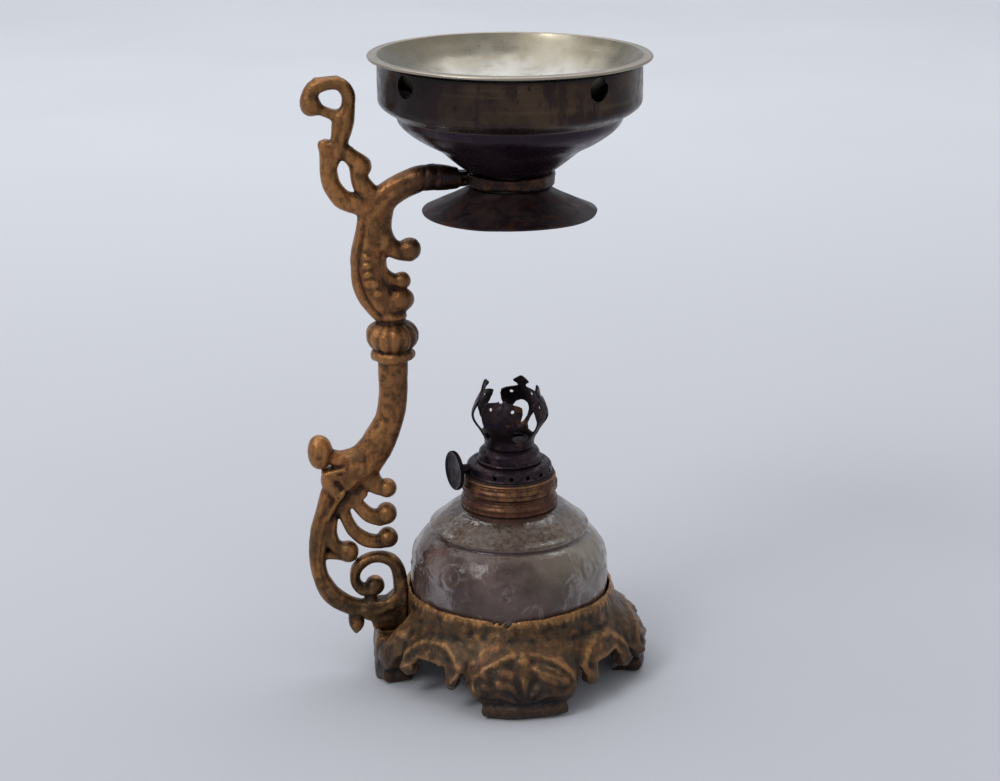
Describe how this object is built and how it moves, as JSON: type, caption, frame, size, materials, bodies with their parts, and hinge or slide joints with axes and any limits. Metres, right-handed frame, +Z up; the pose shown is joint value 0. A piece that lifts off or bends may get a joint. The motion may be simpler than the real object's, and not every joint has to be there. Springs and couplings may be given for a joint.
{
  "type": "vaporizer oil lamp",
  "caption": "Small oil lamp in a cast footed base, with a screw-in burner and a scroll bracket that holds a vaporizing dish above the flame.",
  "frame": {"origin": "centre of the four feet, on the surface that the lamp stands on, under the axis of the font and burner", "axes": "+Z up along the lamp's axis; the bracket stands on the -X side, and the feet lie on the X and Y axes"},
  "size_m": [0.0908, 0.0756, 0.1651],
  "materials": {
    "cast_base": "rough gilt bronze paint, worn and grimed",
    "cast_bracket": "rough gilt bronze paint, golden on the high places",
    "font_glass": "pressed glass, dusty inside",
    "collar_brass": "tarnished rolled brass",
    "plaster": "plaster of Paris, matt",
    "washer_leather": "oily leather",
    "burner_brass": "sooty brass sheet",
    "wick_cotton": "woven cotton tape, charred at the top",
    "shaft_steel": "dull steel wire",
    "wheel_brass": "stamped brass",
    "knob_brass": "tarnished brass, milled edge",
    "gallery_brass": "soot-black spring brass",
    "bowl_steel": "smoked lacquered sheet, metallic round the band",
    "flare_steel": "smoked and rusted sheet",
    "pan_aluminium": "satin, spun"
  },
  "bodies": {
    "base": {"base_casting": "cast_base"},
    "bracket": {"bracket_arm": "cast_bracket"},
    "lamp": {"glass_font": "font_glass", "font_collar": "collar_brass", "collar_plaster": "plaster"},
    "gasket": {"burner_gasket": "washer_leather"},
    "burner": {"burner_shell": "burner_brass", "shaft_bush": "burner_brass", "tube_plate": "burner_brass", "wick_tube": "burner_brass", "wheel_housing": "burner_brass", "air_screen": "burner_brass", "burner_cap": "burner_brass", "chimney_gallery": "gallery_brass"},
    "knob": {"wick_shaft": "shaft_steel", "wick_wheels": "wheel_brass", "wick_knob": "knob_brass"},
    "wick": {"wick": "wick_cotton"},
    "vaporizer": {"vapor_bowl": "bowl_steel", "heat_flare": "flare_steel"},
    "pan": {"vapor_pan": "pan_aluminium"}
  },
  "joints": [
    {"name": "bracket_lift", "type": "slide", "parent": "base", "child": "bracket", "axis": [0, 0, 1], "range_m": [0, 0.012]},
    {"name": "lamp_lift", "type": "slide", "parent": "base", "child": "lamp", "axis": [0, 0, 1], "range_m": [0, 0.03]},
    {"name": "gasket_rise", "type": "slide", "parent": "lamp", "child": "gasket", "axis": [0, 0, 1], "range_m": [0, 0.0046]},
    {"name": "burner_unscrew", "type": "hinge", "parent": "gasket", "child": "burner", "pos_m": [0, 0, 0.0554], "axis": [0, 0, 1], "range_deg": [0, 1080]},
    {"name": "knob_turn", "type": "hinge", "parent": "burner", "child": "knob", "pos_m": [-0.00073, 0.00213, 0.0567], "axis": [-0.9455, -0.3256, 0], "range_deg": [-90, 180]},
    {"name": "wick_raise", "type": "slide", "parent": "burner", "child": "wick", "axis": [0, 0, 1], "range_m": [-0.0026, 0.0051]},
    {"name": "vaporizer_swivel", "type": "hinge", "parent": "bracket", "child": "vaporizer", "pos_m": [0, 0, 0.1338], "axis": [0, 0, 1], "continuous": true},
    {"name": "pan_lift", "type": "slide", "parent": "vaporizer", "child": "pan", "axis": [0, 0, 1], "range_m": [0, 0.04]}
  ],
  "couplings": [
    {"joint": "gasket_rise", "follows": "burner_unscrew", "m_per_rad": 0.00023873},
    {"joint": "wick_raise", "follows": "knob_turn", "m_per_rad": 0.0016}
  ]
}
